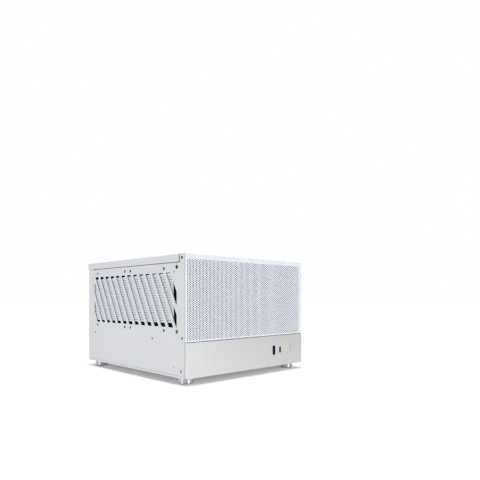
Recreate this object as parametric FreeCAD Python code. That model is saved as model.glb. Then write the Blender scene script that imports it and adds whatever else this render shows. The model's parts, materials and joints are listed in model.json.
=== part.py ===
import FreeCAD, Part
import math
import os

# A compact two-storey computer case: folded steel chassis, slanted vents in both sides,
# lift-off top cover, pull-off perforated front panel, aluminium band with ports below it.
# Millimetres, +Z up, front faces -Y, origin on the table under the middle of the case.

# Overall sizes
body_width = 237.0
body_height = 159.8
body_depth = 257.0
foot_height = 9.0
cover_overhang = 4.0

# Sheet metal and clearances
sheet = 1.0
bend_radius = 1.5
seam_gap = 0.8
cover_gap = 1.3
cover_front_gap = 2.2
panel_gap = 0.4
slide_gap = 0.3
seat_gap = 0.05

# Front: perforated panel above, aluminium band below
front_thickness = 3.0
band_height = 45.8
band_corner = 3.0
band_edge = 0.6
strip_depth = 12.8
mesh_margin = 9.0
mesh_hole = 8.4
mesh_pitch = 14.6

# Top cover
cover_flange = 10.4
cover_ledge = 12.0
side_joggle_height = 3.0
rail_setback = 2.5

# Slanted vents in the side panels, measured from the front face and from the underside
vent_front = 19.5
vent_rear = 238.5
vent_low_margin = 4.85
vent_high_margin = 5.75
vent_first = 33.2
vent_slot = 10.2
vent_pitch = 16.05
vent_lean = 28.1
vent_corner = 0.9
vent_least = 6.0

# Perforated screens behind the vents
screen_sheet = 0.8
screen_inset = 2.0
screen_front = 28.8
screen_rear = 242.0
screen_height = 65.5
screen_middle = 101.2
screen_tilt = 0.87
screen_ear_width = 5.0
screen_ear_height = 6.0
screen_ear_bars = (2, 9)
screen_fold_height = 20.0

# Dust filters clipped to the inner face of the screens: a net in a moulded rim
side_filter_reach = 2.0
side_filter_sheet = 1.6
side_filter_net = 0.4
side_filter_rim = 4.0

# Fan places: 92 mm fans on both sides and behind the front panel
fan_bolt_spacing = 82.5
fan_hole_radius = 2.2
fan_opening_radius = 44.5
side_fan_middles = (88.8, 186.6)
fan_middle_height = 100.6
front_fan_offset = 49.0

# Fasteners and plain holes in the side panels: (from the front face, from the underside)
large_screw_places = ((19.2, 142.7), (19.2, 59.2))
small_screw_places = ((8.6, 154.3), (8.5, 51.3), (10.7, 8.9))
rivet_places = ((73.9, 47.2), (235.5, 47.2))
tooling_hole_places = ((25.0, 136.6), (245.0, 136.0), (25.9, 13.1), (247.5, 14.1))
large_screw_head = 2.7
small_screw_head = 2.0
rivet_head = 1.9
screw_shank = 1.5
small_screw_shank = 1.2
rivet_shank = 1.1
screw_length = 4.0
tooling_hole_radius = 1.2

# Inner flanges of the chassis
frame_flange = 23.0
frame_flange_at_vents = 13.0
vent_relief = 1.7
rear_flange = 14.0
pan_flange_height = 16.0
pan_hem = 2.6
pan_flange_front = 32.0

# Motherboard deck and its standoffs
deck_top = 52.4
deck_front = 64.0
deck_flange = 10.0
board_middle_x = 22.5
board_rear_inset = 12.2
board_spacing_x = 157.48
board_spacing_y = 154.94
standoff_height = 6.5
standoff_radius = 2.9
standoff_bore = 1.3
cable_slot_length = 24.0
cable_slot_width = 12.0
cable_slot_places = (-80.0, 0.0, 80.0)

# Rear wall
io_opening_width = 158.75
io_opening_height = 44.45
io_opening_left = 64.0
io_opening_bottom = 58.0
slot_opening_width = 12.0
slot_opening_height = 78.0
slot_opening_bottom = 58.4
slot_first = 53.0
slot_pitch = 20.32
slot_count = 2
slot_cover_width = 18.4
slot_cover_sheet = 0.9
slot_cover_lap = 3.0
slot_ledge_end = 4.0
slot_ear = 11.0
slot_screw_head = 3.4
slot_screw_head_height = 2.4
psu_opening_width = 82.0
psu_opening_height = 41.0
psu_opening_left = 140.0
psu_opening_bottom = 4.5
rear_vent_hole = 6.6
rear_vent_pitch = 9.0
upper_vent_area = ((72.0, 222.0), (108.4, 143.4))
lower_vent_area = ((22.0, 126.0), (10.0, 42.0))

# Bottom: drive holes and vent slots
drive_hole_radius = 1.75
large_drive_spacing = (95.25, 44.45)
large_drive_middle = (-52.0, 90.0)
small_drive_spacing = (61.72, 76.6)
small_drive_middle = (58.0, 90.0)
floor_slot_length = 60.0
floor_slot_width = 4.0
floor_slot_pitch = 10.0
floor_slot_count = 7
floor_slot_middle = (60.0, 195.0)

# Feet
foot_radius = 10.8
foot_inset_side = 15.2
foot_inset_front = 20.0
foot_inset_rear = 16.5
foot_edge = 0.7
foot_lift = 0.8
pad_radius = 8.4
pad_height = 2.6
foot_screw_head = 3.2
foot_screw_head_height = 2.4
foot_screw_shank = 1.8
foot_screw_rise = 4.0

# Port module behind the band: places from the right side and from the underside
usb_a_place = (67.8, 24.0)
usb_a_size = (5.6, 13.1)
usb_c_place = (53.5, 24.1)
usb_c_size = (3.2, 8.94)
button_place = (33.0, 24.5)
port_wall = 0.35
port_gap = 0.35
port_recess = 0.5
port_depth = 14.0
port_back = 2.0
usb_a_tongue_size = (1.9, 11.1)
usb_a_tongue_offset = 0.9
usb_c_tongue_size = (0.7, 6.7)
port_tongue_recess = 1.5
board_sheet = 1.6
io_window_side = 6.6
io_window_height = 21.0
io_ring_sheet = 2.0
io_ring_border = 7.0
io_post_radius = 2.4
button_radius = 6.2
button_recess = 0.2
button_edge = 0.4
button_flange_radius = 7.6
button_flange_sheet = 1.0
button_stem_radius = 1.7
button_travel = 1.0
switch_side = 6.0
switch_height = 4.0
switch_floor = 0.7

# Snap studs and their sockets
stud_foot_height = 1.2
stud_neck_radius = 1.2
stud_ball_radius = 1.9
stud_reach = 6.5
socket_wall = 1.2
socket_flange = 1.2
cover_stud_inset = 40.0
mesh_stud_inset = 9.0

# Dust filter carried inside the front panel
filter_frame_sheet = 1.3
filter_border = 12.0
filter_net_sheet = 0.3

# Band screws: one behind each corner and one in the middle
band_screw_side = 11.0
band_screw_low = 12.0
band_screw_high = 34.0
band_boss_radius = 4.5
band_screw_head = 2.8
band_screw_head_height = 1.8
band_screw_grip = 2.0

# Planes worked out from the sizes above
left = -body_width / 2
right = body_width / 2
front = -(body_depth + cover_overhang) / 2
rear = front + body_depth
cover_rear = rear + cover_overhang
base = foot_height
top = base + body_height
inner_left = left + sheet
inner_right = right - sheet
panel_back = front + front_thickness
chassis_front = panel_back + panel_gap
frame_back = chassis_front + sheet
rear_inside = rear - sheet
strip_end = front + strip_depth
side_top = top - cover_flange - cover_gap
cover_underside = top - sheet
band_top = base + band_height
vent_bottom = fan_middle_height - fan_bolt_spacing / 2 + vent_low_margin
vent_top = fan_middle_height + fan_bolt_spacing / 2 - vent_high_margin
mesh_bottom = band_top + seam_gap
board_front = front + port_recess + port_depth
io_window_x = (
    right - usb_a_place[0] - io_window_side,
    right - button_place[0] + button_flange_radius + port_gap + slide_gap,
)
io_window_z = (
    base + button_place[1] - io_window_height / 2,
    base + button_place[1] + io_window_height / 2,
)

RIGHTWARD = FreeCAD.Vector(1, 0, 0)
BACKWARD = FreeCAD.Vector(0, 1, 0)
FORWARD = FreeCAD.Vector(0, -1, 0)
UPWARD = FreeCAD.Vector(0, 0, 1)
DOWNWARD = FreeCAD.Vector(0, 0, -1)


def block(xs, ys, zs):
    """Box between two limits on each axis."""
    corner = FreeCAD.Vector(xs[0], ys[0], zs[0])
    return Part.makeBox(xs[1] - xs[0], ys[1] - ys[0], zs[1] - zs[0], corner)


def prism(points, run):
    """Flat profile through the given points, extruded along a vector."""
    return Part.Face(Part.makePolygon(points + points[:1])).extrude(run)


def profile_yz(points, x):
    return [FreeCAD.Vector(x, y, z) for y, z in points]


def profile_xz(points, y):
    return [FreeCAD.Vector(x, y, z) for x, z in points]


def rod(start, direction, radius, length):
    return Part.makeCylinder(radius, length, start, direction)


def turned(profile, start, direction):
    """Solid of revolution: (radius, height) points about an axis through start."""
    points = [FreeCAD.Vector(radius, 0, height) for radius, height in profile]
    solid = Part.Face(Part.makePolygon(points + points[:1])).revolve(FreeCAD.Vector(), UPWARD, 360)
    solid.Placement = FreeCAD.Placement(start, FreeCAD.Rotation(UPWARD, direction))
    return solid


def joined(shapes):
    return shapes[0].fuse(shapes[1:]).removeSplitter()


def mirrored(shape):
    return shape.mirror(FreeCAD.Vector(), RIGHTWARD)


def on_both_sides(shapes):
    return shapes + [mirrored(shape) for shape in shapes]


def tray(xs, ys, zs, opening):
    """Folded sheet with a floor and four walls, open towards one direction."""
    outer = block(xs, ys, zs)
    mouth = max(vertex.Point.dot(opening) for vertex in outer.Vertexes)

    def on_mouth(edge):
        return all(abs(vertex.Point.dot(opening) - mouth) < sheet / 2 for vertex in edge.Vertexes)

    outer = outer.makeFillet(bend_radius, [edge for edge in outer.Edges if not on_mouth(edge)])
    limits = []
    for axis, (low, high) in zip((RIGHTWARD, BACKWARD, UPWARD), (xs, ys, zs)):
        reach = axis.dot(opening) * (high - low)
        limits.append((low + sheet + min(reach, 0), high - sheet + max(reach, 0)))
    hollow = block(*limits)
    inner_radius = bend_radius - sheet
    hollow = hollow.makeFillet(inner_radius, hollow.Edges)
    return outer.cut(hollow)


def rounded(face, radius):
    """Flat outline with its corners rounded, by an offset in and out again."""
    return face.makeOffset2D(-radius).makeOffset2D(radius)


def four_corners(spacing_a, spacing_b):
    return [(a * spacing_a / 2, b * spacing_b / 2) for a in (-1, 1) for b in (-1, 1)]


def hexagon_angles(start):
    return [start + corner * math.pi / 3 for corner in range(6)]


def hexagon_holes(xs, zs, across, pitch, y, depth):
    """Staggered hexagonal holes that fill a rectangle of a wall facing along Y."""
    row_pitch = pitch * math.sin(math.radians(60))
    radius = across / 2 / math.sin(math.radians(60))
    rows = 1 + int((zs[1] - zs[0] - 2 * radius) / row_pitch)
    columns = 1 + int((xs[1] - xs[0] - across - pitch / 2) / pitch)
    start_x = (xs[0] + xs[1] - (columns - 1) * pitch) / 2 - pitch / 4
    start_z = (zs[0] + zs[1] - (rows - 1) * row_pitch) / 2
    angles = hexagon_angles(math.radians(30))
    holes = []
    for row in range(rows):
        for column in range(columns):
            x = start_x + column * pitch + (row % 2) * pitch / 2
            z = start_z + row * row_pitch
            outline = [(x + radius * math.cos(a), z + radius * math.sin(a)) for a in angles]
            holes.append(prism(profile_xz(outline, y), BACKWARD * depth))
    return holes


def side_point(place, x):
    return FreeCAD.Vector(x, front + place[0], base + place[1])


def module_point(place, y):
    return FreeCAD.Vector(right - place[0], y, base + place[1])


def band_screw_places():
    sides = (band_screw_side, body_width - band_screw_side)
    corners = [(side, height) for side in sides for height in (band_screw_low, band_screw_high)]
    return corners + [(body_width / 2, band_screw_high)]


def countersunk(start, direction, head, shank, length):
    """Flush screw or rivet: a cone as deep as the sheet, then its shank."""
    profile = [(0, 0), (head, 0), (shank, sheet), (shank, length), (0, length)]
    return turned(profile, start, direction)


def countersink(start, direction, head, shank):
    """Seat of a flush screw, wider than it by the seat gap."""
    profile = [(0, 0), (head + seat_gap, 0), (shank + seat_gap, sheet), (0, sheet)]
    return turned(profile, start, direction)


def side_fasteners(places, head, shank):
    """Countersunk fasteners of the left side, driven from outside."""
    return [
        countersunk(side_point(place, left), RIGHTWARD, head, shank, screw_length)
        for place in places]


def shank_holes(places, shank):
    """Holes for those shanks in the flanges just inside the left side."""
    length = sheet + screw_length
    return [rod(side_point(place, left), RIGHTWARD, shank + seat_gap, length) for place in places]


def vent_slots():
    """Slanted slots, trimmed to the vent window, as cutters through the left side."""
    lean = (vent_top - vent_bottom) * math.tan(math.radians(vent_lean))
    count = 1 + int((vent_rear - vent_least - vent_first + lean) / vent_pitch)
    window = Part.Face(Part.makePolygon(profile_yz(
        [(front + y, base + z) for y, z in (
            (vent_front, vent_bottom), (vent_rear, vent_bottom),
            (vent_rear, vent_top), (vent_front, vent_top), (vent_front, vent_bottom))], left)))
    cutters = []
    for index in range(count):
        high = front + vent_first + index * vent_pitch
        low = high - lean
        outline = profile_yz([
            (low, base + vent_bottom), (low + vent_slot, base + vent_bottom),
            (high + vent_slot, base + vent_top), (high, base + vent_top)], left)
        slot = Part.Face(Part.makePolygon(outline + outline[:1])).common(window).Faces[0]
        cutters.append(rounded(slot, vent_corner).extrude(RIGHTWARD * sheet))
    return cutters


def fan_holes(middle_y):
    """Four fan screw holes through the left side."""
    return [
        rod(side_point((middle_y + dy, fan_middle_height + dz), left), RIGHTWARD, fan_hole_radius, sheet)
        for dy, dz in four_corners(fan_bolt_spacing, fan_bolt_spacing)]


def make_left_side_panel():
    bottom = base + pan_hem + panel_gap
    plate = block((left, inner_left), (chassis_front, rear), (bottom, side_top))
    strip = block((left, inner_left), (chassis_front, strip_end), (bottom, top))
    rail_outer = inner_left + rail_setback
    rail_inner = rail_outer + sheet
    rail_top = cover_underside - bend_radius
    rail_start = strip_end + cover_ledge + panel_gap
    rail_end = rear - rear_flange - panel_gap
    rail = prism(profile_xz([
        (left, side_top), (left, side_top - sheet), (inner_left, side_top - side_joggle_height),
        (rail_inner, side_top - sheet), (rail_inner, rail_top), (rail_outer, rail_top),
        (rail_outer, side_top)], rail_start), BACKWARD * (rail_end - rail_start))
    panel = joined([plate, strip, rail])
    cutters = vent_slots()
    for middle in side_fan_middles:
        cutters += fan_holes(middle)
    for place in tooling_hole_places:
        cutters.append(rod(side_point(place, left), RIGHTWARD, tooling_hole_radius, sheet))
    for places, head, shank in (
            (large_screw_places, large_screw_head, screw_shank),
            (small_screw_places, small_screw_head, small_screw_shank),
            (rivet_places, rivet_head, rivet_shank)):
        cutters += [countersink(side_point(place, left), RIGHTWARD, head, shank) for place in places]
    return panel.cut(cutters)


def make_base_pan():
    floor = block((left, right), (chassis_front, rear), (base, base + sheet))
    hem_depth = 2 * sheet
    sides = []
    for edge, inward in ((left, 1), (right, -1)):
        section = [
            (edge, base), (edge, base + pan_hem), (edge + inward * sheet, base + pan_hem),
            (edge + inward * sheet, base + pan_flange_height),
            (edge + inward * hem_depth, base + pan_flange_height), (edge + inward * hem_depth, base)]
        start = front + pan_flange_front
        sides.append(prism(profile_xz(section, start), BACKWARD * (rear - rear_flange - panel_gap - start)))
        lip = sorted((edge, edge + inward * sheet))
        sides.append(block(lip, (chassis_front, rear), (base, base + pan_hem)))
    pan = joined([floor] + sides)
    cutters = []
    for spacing, middle in (
            (large_drive_spacing, large_drive_middle),
            (small_drive_spacing, small_drive_middle)):
        for dx, dy in four_corners(*spacing):
            start = FreeCAD.Vector(middle[0] + dx, front + middle[1] + dy, base)
            cutters.append(rod(start, UPWARD, drive_hole_radius, sheet))
    for index in range(floor_slot_count):
        x = floor_slot_middle[0] + (index - (floor_slot_count - 1) / 2) * floor_slot_pitch
        y = front + floor_slot_middle[1]
        cutters.append(block(
            (x - floor_slot_width / 2, x + floor_slot_width / 2),
            (y - floor_slot_length / 2, y + floor_slot_length / 2), (base, base + sheet)))
    for x, y in foot_middles():
        cutters.append(rod(FreeCAD.Vector(x, y, base), UPWARD, foot_screw_shank + seat_gap, sheet))
    return pan.cut(cutters)


def cover_stud_middles():
    """Where the cover's studs stand: over the front ledge and over the rear flange."""
    front_row = strip_end + cover_ledge / 2 + panel_gap
    rear_row = rear_inside - rear_flange / 2
    return [
        (x, y) for y in (front_row, rear_row)
        for x in (left + cover_stud_inset, right - cover_stud_inset)]


def mesh_stud_middles():
    return [
        (x, z) for z in (mesh_bottom + mesh_stud_inset, top - mesh_stud_inset)
        for x in (left + mesh_stud_inset, right - mesh_stud_inset)]


def socket_bore():
    return stud_ball_radius + slide_gap


def socket_outside():
    return socket_bore() + socket_wall


def make_front_frame():
    flange_end = chassis_front + sheet + frame_flange
    frame = tray((inner_left, inner_right), (chassis_front, flange_end), (base + sheet, top), BACKWARD)
    across = (left, right)
    clear_of_vents = (base + vent_bottom - vent_relief, base + vent_top + vent_relief)
    short_flange = chassis_front + frame_flange_at_vents
    rail_foot = side_top - side_joggle_height
    frame = frame.cut([
        block(across, (short_flange, flange_end), clear_of_vents),
        block(across, (strip_end, flange_end), (rail_foot, top)),
    ])
    ledge_end = strip_end + cover_ledge
    step = prism(profile_yz([
        (strip_end - sheet, top), (strip_end, top), (strip_end, cover_underside),
        (ledge_end, cover_underside), (ledge_end, cover_underside - sheet),
        (strip_end - sheet, cover_underside - sheet)], inner_left + bend_radius),
        RIGHTWARD * (inner_right - inner_left - 2 * bend_radius))
    frame = joined([frame, step])
    cutters = [block(io_window_x, (chassis_front, frame_back), io_window_z)]
    for middle_x in (-front_fan_offset, front_fan_offset):
        centre = FreeCAD.Vector(middle_x, chassis_front, base + fan_middle_height)
        cutters.append(rod(centre, BACKWARD, fan_opening_radius, sheet))
        for dx, dz in four_corners(fan_bolt_spacing, fan_bolt_spacing):
            cutters.append(rod(centre + FreeCAD.Vector(dx, 0, dz), BACKWARD, fan_hole_radius, sheet))
    for x, z in mesh_stud_middles():
        start = FreeCAD.Vector(x, chassis_front, z)
        cutters.append(rod(start, BACKWARD, socket_outside() + seat_gap, sheet))
    for x, y in cover_stud_middles()[:2]:
        start = FreeCAD.Vector(x, y, cover_underside - sheet)
        cutters.append(rod(start, UPWARD, socket_outside() + seat_gap, sheet))
    for x, y in foot_middles():
        start = FreeCAD.Vector(x, y, base + sheet)
        cutters.append(rod(start, UPWARD, foot_screw_shank + seat_gap, sheet))
    for place in band_screw_places():
        start = module_point(place, chassis_front)
        cutters.append(rod(start, BACKWARD, small_screw_shank + seat_gap, sheet))
    side_holes = shank_holes(large_screw_places, screw_shank)
    side_holes += shank_holes(small_screw_places, small_screw_shank)
    return frame.cut(cutters + on_both_sides(side_holes))


def slot_middles():
    return [left + slot_first - index * slot_pitch for index in range(slot_count)]


def slot_ledge_top():
    return base + slot_opening_bottom + slot_opening_height + slot_cover_lap


def make_rear_panel():
    wall_z = (base + sheet, cover_underside)
    wall = tray((inner_left, inner_right), (rear - rear_flange, rear), wall_z, FORWARD)
    middles = slot_middles()
    ledge_reach = slot_cover_width / 2 + slot_ledge_end
    ledge_x = (min(middles) - ledge_reach, max(middles) + ledge_reach)
    ledge_z = (slot_ledge_top() - sheet, slot_ledge_top())
    wall = joined([wall, block(ledge_x, (rear_inside - slot_ear, rear_inside), ledge_z)])
    notch_half = slot_cover_width / 2 + panel_gap
    notch_y = (rear_inside - slot_cover_sheet - panel_gap, rear_inside)
    through = (rear_inside, rear)
    cutters = [
        block(
            (left + io_opening_left, left + io_opening_left + io_opening_width), through,
            (base + io_opening_bottom, base + io_opening_bottom + io_opening_height)),
        block(
            (left + psu_opening_left, left + psu_opening_left + psu_opening_width), through,
            (base + psu_opening_bottom, base + psu_opening_bottom + psu_opening_height)),
    ]
    for x in middles:
        cutters.append(block(
            (x - slot_opening_width / 2, x + slot_opening_width / 2), through,
            (base + slot_opening_bottom, base + slot_opening_bottom + slot_opening_height)))
        cutters.append(block((x - notch_half, x + notch_half), notch_y, ledge_z))
        start = FreeCAD.Vector(x, rear_inside - slot_ear / 2, ledge_z[0])
        cutters.append(rod(start, UPWARD, screw_shank + seat_gap, sheet))
    for xs, zs in (upper_vent_area, lower_vent_area):
        cutters += hexagon_holes(
            (left + xs[0], left + xs[1]), (base + zs[0], base + zs[1]),
            rear_vent_hole, rear_vent_pitch, rear_inside, sheet)
    for x, y in cover_stud_middles()[2:]:
        start = FreeCAD.Vector(x, y, cover_underside - sheet)
        cutters.append(rod(start, UPWARD, socket_outside() + seat_gap, sheet))
    return wall.cut(cutters)


def make_motherboard_deck():
    deck_z = (base + deck_top - sheet, base + deck_top)
    deck_start = front + deck_front
    flange_end = rear - rear_flange - panel_gap
    plate = block((inner_left, inner_right), (deck_start, flange_end), deck_z)
    tongue_side = inner_left + sheet + panel_gap
    tongue_end = rear_inside - slot_cover_sheet - panel_gap
    tongue = block((tongue_side, -tongue_side), (flange_end, tongue_end), deck_z)
    flanges = [
        block(sorted((side, side - math.copysign(sheet, side))), (deck_start, flange_end),
              (base + deck_top - deck_flange, base + deck_top))
        for side in (inner_left, inner_right)]
    deck = joined([plate, tongue] + flanges)
    cutters = on_both_sides(shank_holes(rivet_places, rivet_shank))
    for x, y in standoff_middles():
        cutters.append(rod(FreeCAD.Vector(x, y, deck_z[0]), UPWARD, standoff_bore, sheet))
    slot_y = deck_start + cable_slot_width
    for x in cable_slot_places:
        cutters.append(block(
            (x - cable_slot_length / 2, x + cable_slot_length / 2),
            (slot_y - cable_slot_width / 2, slot_y + cable_slot_width / 2), deck_z))
    return deck.cut(cutters)


def standoff_middles():
    rear_row = rear - board_rear_inset
    return [
        (board_middle_x + side * board_spacing_x / 2, y)
        for y in (rear_row, rear_row - board_spacing_y) for side in (-1, 1)]


def make_standoffs():
    posts = []
    for x, y in standoff_middles():
        seat = FreeCAD.Vector(x, y, base + deck_top)
        outline = [
            seat + FreeCAD.Vector(standoff_radius * math.cos(a), standoff_radius * math.sin(a), 0)
            for a in hexagon_angles(0)]
        bore = rod(seat, UPWARD, standoff_bore, standoff_height)
        posts.append(prism(outline, UPWARD * standoff_height).cut(bore))
    return Part.makeCompound(posts)


def make_slot_covers():
    covers = []
    wall = (rear_inside - slot_cover_sheet, rear_inside)
    ledge_top = slot_ledge_top()
    half = slot_cover_width / 2
    for x in slot_middles():
        section = profile_yz([
            (wall[1], base + slot_opening_bottom - slot_cover_lap), (wall[1], ledge_top + slot_cover_sheet),
            (rear_inside - slot_ear, ledge_top + slot_cover_sheet), (rear_inside - slot_ear, ledge_top),
            (wall[0], ledge_top), (wall[0], base + slot_opening_bottom - slot_cover_lap)], x - half)
        cover = prism(section, RIGHTWARD * (2 * half))
        start = FreeCAD.Vector(x, rear_inside - slot_ear / 2, ledge_top)
        covers.append(cover.cut(rod(start, UPWARD, screw_shank + seat_gap, slot_cover_sheet)))
    return Part.makeCompound(covers)


def make_slot_screws():
    seat = slot_ledge_top() + slot_cover_sheet
    profile = [
        (0, slot_screw_head_height), (slot_screw_head, slot_screw_head_height), (slot_screw_head, 0),
        (screw_shank, 0), (screw_shank, -screw_length), (0, -screw_length)]
    return Part.makeCompound([
        turned(profile, FreeCAD.Vector(x, rear_inside - slot_ear / 2, seat), UPWARD)
        for x in slot_middles()])


def make_top_cover():
    """Plate with folded sides and rear, cut off square at its front end."""
    start = strip_end + cover_front_gap
    longer = start - cover_ledge
    zs = (top - cover_flange, top)
    cover = tray((left, right), (longer, cover_rear), zs, DOWNWARD)
    return cover.cut(block((left, right), (longer, start), zs))


def snap_stud(start, direction):
    """Ball stud on a round foot, standing out from the panel that carries it."""
    ball_middle = stud_reach - stud_ball_radius
    shoulder = stud_ball_radius * math.cos(math.radians(45))
    profile = [
        (0, 0), (stud_ball_radius, 0), (stud_ball_radius, stud_foot_height),
        (stud_neck_radius, stud_foot_height), (stud_neck_radius, ball_middle - stud_ball_radius),
        (shoulder, ball_middle - shoulder), (stud_ball_radius, ball_middle),
        (shoulder, ball_middle + shoulder), (0, stud_reach)]
    return turned(profile, start, direction)


def snap_socket(seat, direction, depth):
    """Cup that takes a ball stud: a flange on the seat, a sleeve through it and a closed end."""
    bore = socket_bore()
    outside = socket_outside()
    flange = outside + socket_flange
    profile = [
        (bore, -sheet), (outside, -sheet), (outside, 0), (flange, 0), (flange, socket_flange),
        (outside, socket_flange), (outside, depth + socket_wall), (0, depth + socket_wall),
        (0, depth), (bore, depth)]
    return turned(profile, seat, direction)


def make_cover_studs():
    return Part.makeCompound([
        snap_stud(FreeCAD.Vector(x, y, cover_underside), DOWNWARD) for x, y in cover_stud_middles()])


def make_cover_sockets():
    seat = cover_underside - sheet
    depth = stud_reach - sheet + slide_gap
    return Part.makeCompound([
        snap_socket(FreeCAD.Vector(x, y, seat), DOWNWARD, depth) for x, y in cover_stud_middles()])


def make_front_mesh():
    panel = tray((left, right), (front, panel_back), (mesh_bottom, top), BACKWARD)
    field_x = (left + mesh_margin, right - mesh_margin)
    field_z = (mesh_bottom + mesh_margin, top - mesh_margin)
    return panel.cut(hexagon_holes(field_x, field_z, mesh_hole, mesh_pitch, front, sheet))


def filter_limits():
    """Outline of the dust filter inside the front panel's folded edge."""
    border = sheet + bend_radius
    return (left + border, right - border), (mesh_bottom + border, top - border)


def make_filter_frame():
    xs, zs = filter_limits()
    ys = (front + sheet, front + sheet + filter_frame_sheet)
    ring = block(xs, ys, zs)
    window = block(
        (xs[0] + filter_border, xs[1] - filter_border), ys, (zs[0] + filter_border, zs[1] - filter_border))
    holes = [
        rod(FreeCAD.Vector(x, ys[0], z), BACKWARD, stud_ball_radius + slide_gap, filter_frame_sheet)
        for x, z in mesh_stud_middles()]
    return ring.cut([window] + holes)


def make_filter_net():
    xs, zs = filter_limits()
    start = front + sheet + (filter_frame_sheet - filter_net_sheet) / 2
    return block(
        (xs[0] + filter_border, xs[1] - filter_border), (start, start + filter_net_sheet),
        (zs[0] + filter_border, zs[1] - filter_border))


def make_mesh_studs():
    return Part.makeCompound([
        snap_stud(FreeCAD.Vector(x, front + sheet, z), BACKWARD) for x, z in mesh_stud_middles()])


def make_mesh_sockets():
    depth = front + sheet + stud_reach + slide_gap - frame_back
    return Part.makeCompound([
        snap_socket(FreeCAD.Vector(x, frame_back, z), BACKWARD, depth) for x, z in mesh_stud_middles()])


def stadium(place, size, y, depth):
    """Upright slot with round ends, as a solid that runs backward from y."""
    width, height = size
    half = (height - width) / 2
    middle = module_point(place, y)
    straight = block(
        (middle.x - width / 2, middle.x + width / 2), (y, y + depth), (middle.z - half, middle.z + half))
    ends = [rod(middle + UPWARD * (side * half), BACKWARD, width / 2, depth) for side in (-1, 1)]
    return joined([straight] + ends)


def upright(place, size, y, depth):
    """Upright rectangle, as a solid that runs backward from y."""
    middle = module_point(place, y)
    return block(
        (middle.x - size[0] / 2, middle.x + size[0] / 2), (y, y + depth),
        (middle.z - size[1] / 2, middle.z + size[1] / 2))


def shrunk(size, amount):
    return (size[0] - 2 * amount, size[1] - 2 * amount)


def make_front_band():
    band = block((left, right), (front, panel_back), (base, band_top))
    low_corners = [
        edge for edge in band.Edges
        if all(abs(vertex.Z - base) < sheet for vertex in edge.Vertexes)
        and abs(edge.Vertexes[0].X - edge.Vertexes[1].X) < sheet]
    band = band.makeFillet(band_corner, low_corners)
    rim = [edge for edge in band.Edges if all(abs(vertex.Y - front) < sheet for vertex in edge.Vertexes)]
    band = band.makeFillet(band_edge, rim)
    bosses = [rod(module_point(place, panel_back), BACKWARD, band_boss_radius, panel_gap)
              for place in band_screw_places()]
    band = joined([band] + bosses)
    cutters = [
        upright(usb_a_place, shrunk(usb_a_size, -port_gap), front, front_thickness),
        stadium(usb_c_place, shrunk(usb_c_size, -port_gap), front, front_thickness),
        rod(module_point(button_place, front), BACKWARD, button_radius + slide_gap, front_thickness),
    ]
    for place in band_screw_places():
        start = module_point(place, chassis_front)
        cutters.append(rod(start, FORWARD, small_screw_shank + seat_gap, band_screw_grip))
    return band.cut(cutters)


def make_band_screws():
    reach = sheet + band_screw_grip - panel_gap
    profile = [
        (0, -band_screw_head_height), (band_screw_head, -band_screw_head_height), (band_screw_head, 0),
        (small_screw_shank, 0), (small_screw_shank, reach), (0, reach)]
    return Part.makeCompound([
        turned(profile, module_point(place, frame_back), FORWARD) for place in band_screw_places()])


def make_usb_a_shell():
    start = front + port_recess
    tube = upright(usb_a_place, usb_a_size, start, port_depth)
    return tube.cut(upright(usb_a_place, shrunk(usb_a_size, port_wall), start, port_depth))


def make_usb_a_tongue():
    back = board_front - port_back
    core = upright(usb_a_place, shrunk(usb_a_size, port_wall + seat_gap), back, port_back)
    start = front + port_recess + port_tongue_recess
    place = (usb_a_place[0] - usb_a_tongue_offset, usb_a_place[1])
    return joined([core, upright(place, usb_a_tongue_size, start, back - start)])


def make_usb_c_shell():
    start = front + port_recess
    tube = stadium(usb_c_place, usb_c_size, start, port_depth)
    return tube.cut(stadium(usb_c_place, shrunk(usb_c_size, port_wall), start, port_depth))


def make_usb_c_tongue():
    back = board_front - port_back
    core = stadium(usb_c_place, shrunk(usb_c_size, port_wall + seat_gap), back, port_back)
    start = front + port_recess + port_tongue_recess
    return joined([core, upright(usb_c_place, usb_c_tongue_size, start, back - start)])


def io_ring_limits():
    return (
        (io_window_x[0] - io_ring_border, io_window_x[1] + io_ring_border),
        (io_window_z[0] - io_ring_border, io_window_z[1] + io_ring_border))


def make_io_bracket():
    xs, zs = io_ring_limits()
    ring = block(xs, (frame_back, frame_back + io_ring_sheet), zs)
    window = block(io_window_x, (frame_back, frame_back + io_ring_sheet), io_window_z)
    post_inset = io_ring_border / 2
    post_start = frame_back + io_ring_sheet
    posts = [
        rod(FreeCAD.Vector(x, post_start, z), BACKWARD, io_post_radius, board_front - post_start)
        for x in (xs[0] + post_inset, xs[1] - post_inset) for z in (zs[0] + post_inset, zs[1] - post_inset)]
    return joined([ring.cut(window)] + posts)


def make_io_board():
    xs, zs = io_ring_limits()
    return block(xs, (board_front, board_front + board_sheet), zs)


def make_power_button():
    flange_front = panel_back + slide_gap
    face = front + button_recess
    stem_end = board_front - switch_floor - slide_gap - button_travel
    flange_back = flange_front + button_flange_sheet
    profile = [
        (0, 0), (button_radius - button_edge, 0), (button_radius, button_edge),
        (button_radius, flange_front - face), (button_flange_radius, flange_front - face),
        (button_flange_radius, flange_back - face), (button_stem_radius, flange_back - face),
        (button_stem_radius, stem_end - face), (0, stem_end - face)]
    return turned(profile, module_point(button_place, face), BACKWARD)


def make_power_switch():
    start = board_front - switch_height
    body = upright(button_place, (switch_side, switch_side), start, switch_height)
    bore_depth = switch_height - switch_floor
    bore = rod(module_point(button_place, start), BACKWARD, button_stem_radius + slide_gap, bore_depth)
    return body.cut(bore)


def foot_middles():
    return [
        (x, y) for x in (left + foot_inset_side, right - foot_inset_side)
        for y in (front + foot_inset_front, rear - foot_inset_rear)]


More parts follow.
